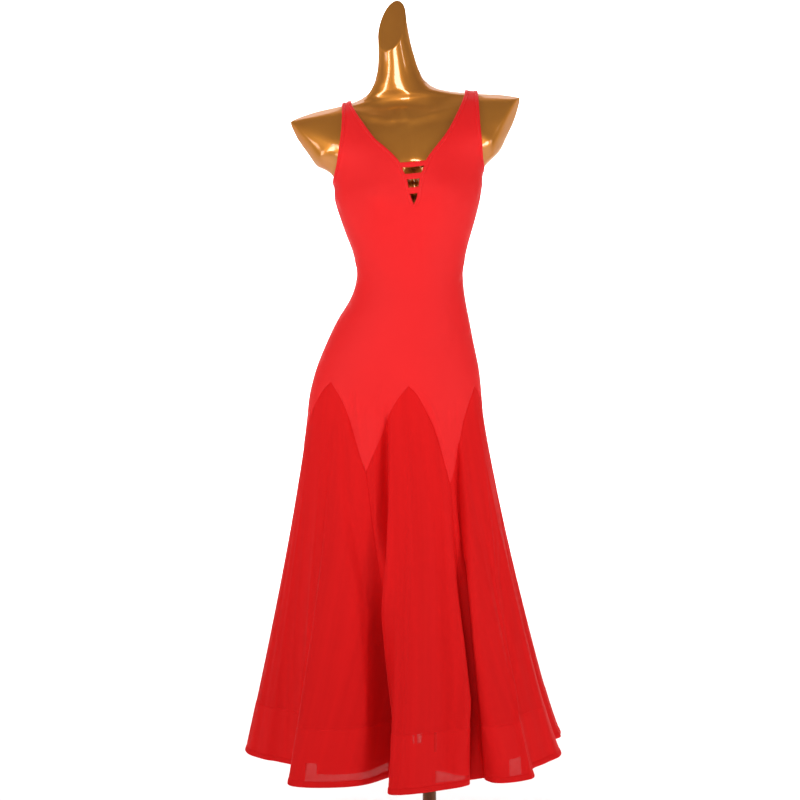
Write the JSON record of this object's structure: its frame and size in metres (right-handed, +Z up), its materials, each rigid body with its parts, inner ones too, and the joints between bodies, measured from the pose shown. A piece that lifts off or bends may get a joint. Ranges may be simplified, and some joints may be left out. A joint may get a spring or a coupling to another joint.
{
  "type": "ballroom dance dress on a dress form stand",
  "caption": "Sleeveless red ballroom dance dress with a barred V-neck, a jersey body and flared georgette godets, worn by a gold dress form on a pole stand.",
  "frame": {"origin": "on the floor under the middle of the dress", "axes": "+Z up, the front of the dress faces -Y, +X to the right as seen from the front"},
  "size_m": [0.5911, 0.6045, 1.5978],
  "materials": {
    "jersey": "satin",
    "georgette": "matte",
    "gold_form": "gold paint, gloss",
    "bronze_stand": "bronze, satin"
  },
  "bodies": {
    "root": {"bodice_front": "jersey", "bodice_back": "jersey", "neck_binding": "jersey", "armhole_binding_left": "jersey", "armhole_binding_right": "jersey", "neck_bar_1": "jersey", "neck_bar_2": "jersey", "neck_bar_3": "jersey", "godet_front_left": "georgette", "godet_front": "georgette", "godet_front_right": "georgette", "godet_back_right": "georgette", "godet_back": "georgette", "godet_back_left": "georgette", "hem_band_front_left": "georgette", "hem_band_front": "georgette", "hem_band_front_right": "georgette", "hem_band_back_right": "georgette", "hem_band_back": "georgette", "hem_band_back_left": "georgette", "hem_edge": "georgette", "form_torso": "gold_form", "stand_base": "bronze_stand", "stand_collar": "bronze_stand", "stand_pole": "bronze_stand", "stand_flange": "bronze_stand"}
  },
  "joints": []
}
